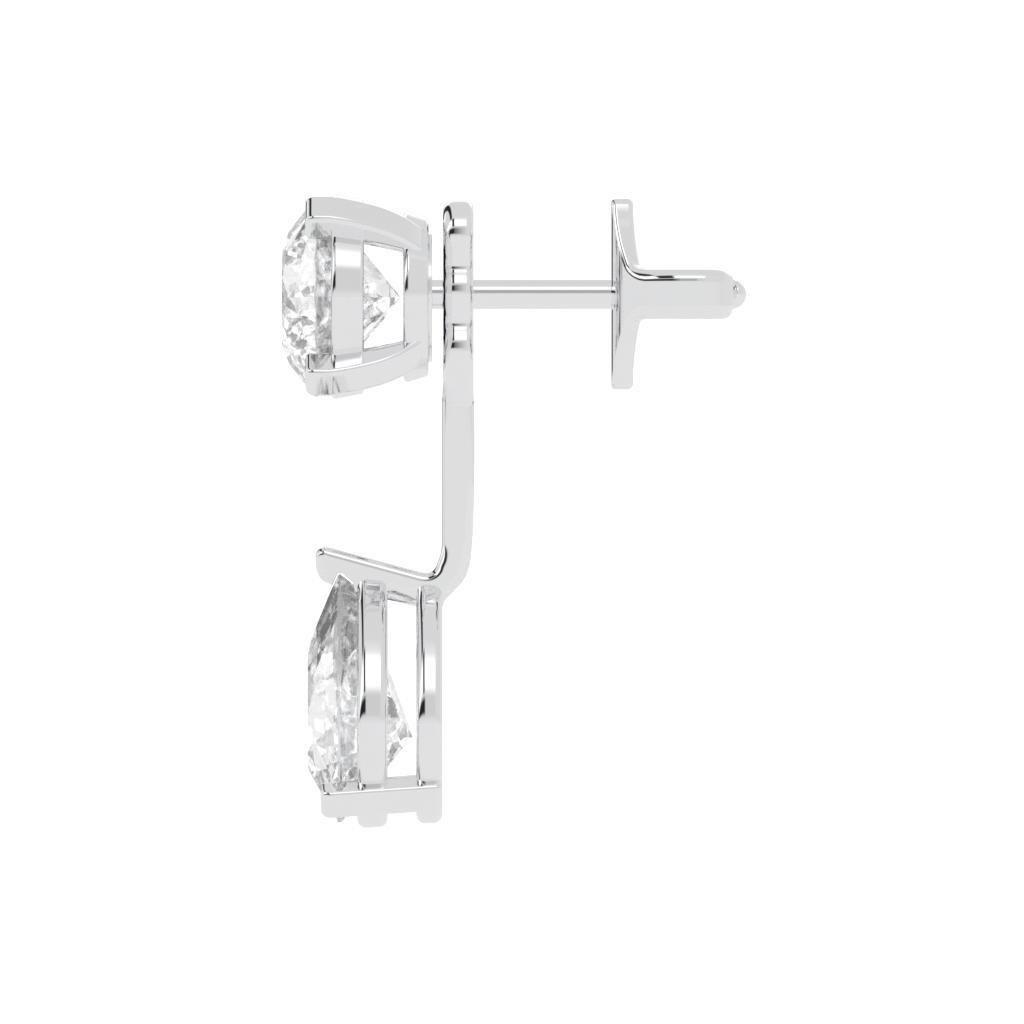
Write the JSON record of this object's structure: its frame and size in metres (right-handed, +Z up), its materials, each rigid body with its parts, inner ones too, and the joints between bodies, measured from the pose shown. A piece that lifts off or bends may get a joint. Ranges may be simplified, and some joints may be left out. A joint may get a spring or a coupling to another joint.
{
  "type": "jacket earring",
  "caption": "Stud earring with a round stone, a removable drop with a pear-shaped stone that hangs on its post, and a butterfly nut that holds both on the ear.",
  "frame": {"origin": "on the post's axis, midway in the room for the ear lobe between the drop's plate and the nut", "axes": "+Z up as the earring hangs, +Y along the post from the stones to the nut, +X to the side; the stones face -Y"},
  "size_m": [0.0064, 0.0141, 0.0192],
  "materials": {
    "white_gold": "mirror-polished white gold",
    "diamond": "cut and polished colourless diamond"
  },
  "bodies": {
    "stud": {"stud_setting": "white_gold", "round_stone": "diamond"},
    "drop": {"jacket": "white_gold", "pear_stone": "diamond"},
    "nut": {"ear_nut": "white_gold"}
  },
  "joints": [
    {"name": "jacket_swing", "type": "hinge", "parent": "stud", "child": "drop", "pos_m": [0, 0, 0], "axis": [0, 1, 0], "continuous": true},
    {"name": "nut_slide", "type": "slide", "parent": "stud", "child": "nut", "axis": [0, 1, 0], "range_m": [-0.0039, 0.0042]}
  ]
}
